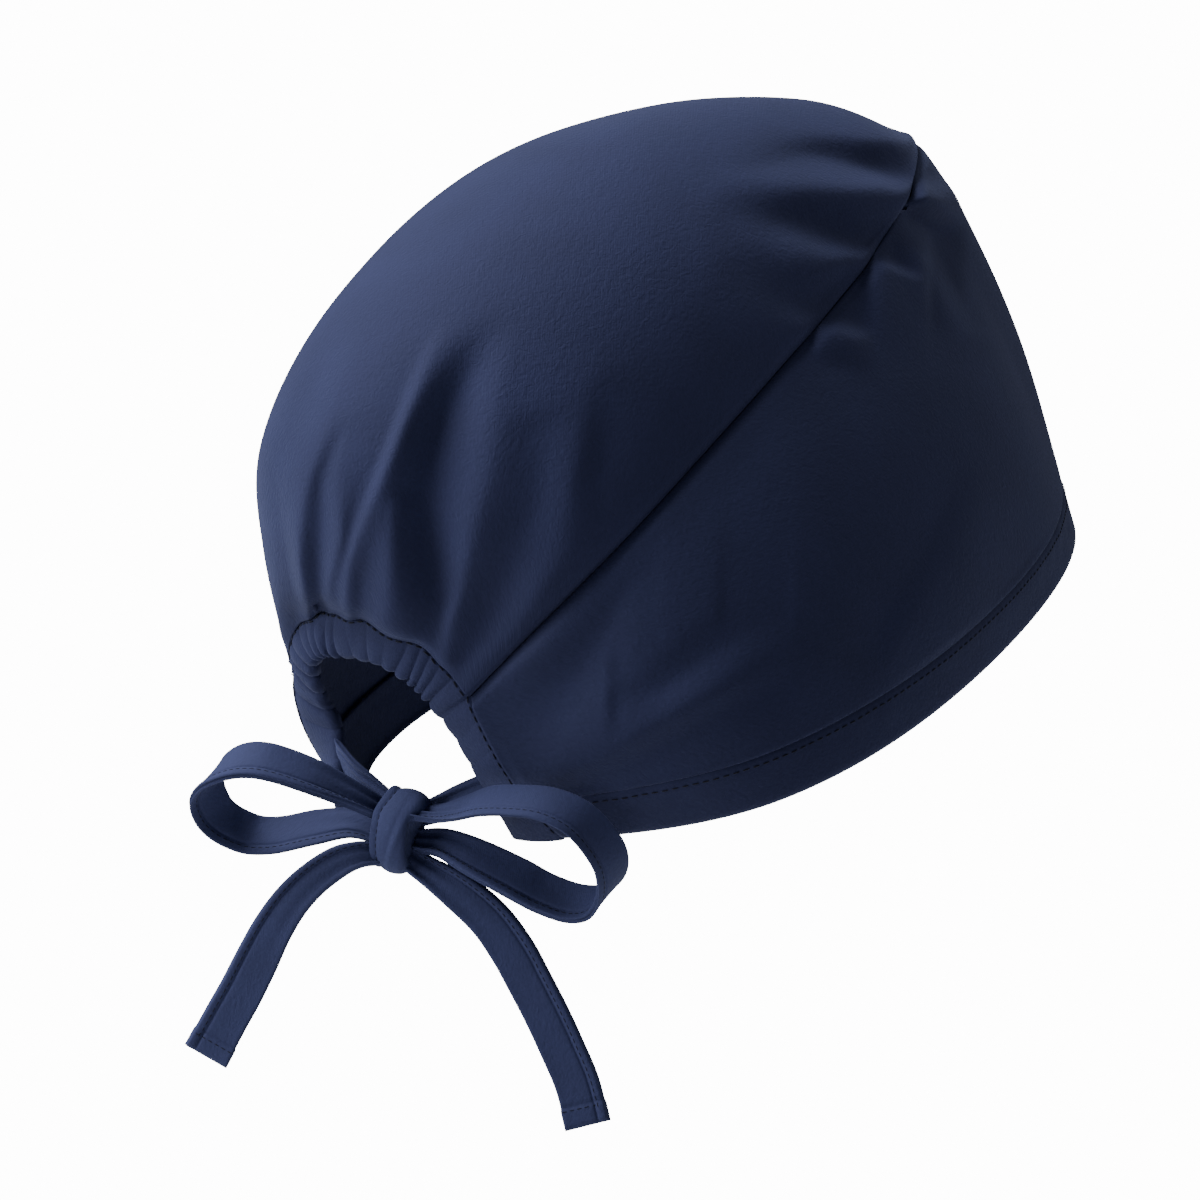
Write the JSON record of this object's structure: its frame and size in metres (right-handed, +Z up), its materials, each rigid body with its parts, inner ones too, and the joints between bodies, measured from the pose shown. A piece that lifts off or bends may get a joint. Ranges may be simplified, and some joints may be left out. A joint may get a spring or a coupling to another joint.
{
  "type": "scrub cap",
  "caption": "Soft tie-back cloth cap in its worn shape: gathered crown, side panel, hem band, gathered keyhole opening at the nape and tied bow with hanging tails.",
  "frame": {"origin": "centre of the head opening, in the plane of the rim", "axes": "+Z up, -Y towards the forehead, +Y towards the nape and the bow, -X towards the wearer's right"},
  "size_m": [0.1698, 0.2615, 0.2574],
  "materials": {
    "crown_cloth": "matte woven cotton twill",
    "side_cloth": "matte woven cotton twill",
    "hem_cloth": "matte woven cotton twill, turned under and stitched",
    "casing_cloth": "matte woven cotton twill, gathered",
    "tie_cloth": "matte woven cotton twill, folded and stitched"
  },
  "bodies": {
    "root": {"crown_panel": "crown_cloth", "side_panel": "side_cloth", "band": "hem_cloth", "casing": "casing_cloth", "strap_right": "tie_cloth", "strap_left": "tie_cloth", "knot": "tie_cloth", "bow_loop_left": "tie_cloth", "bow_loop_right": "tie_cloth", "tail_left": "tie_cloth", "tail_right": "tie_cloth"}
  },
  "joints": []
}
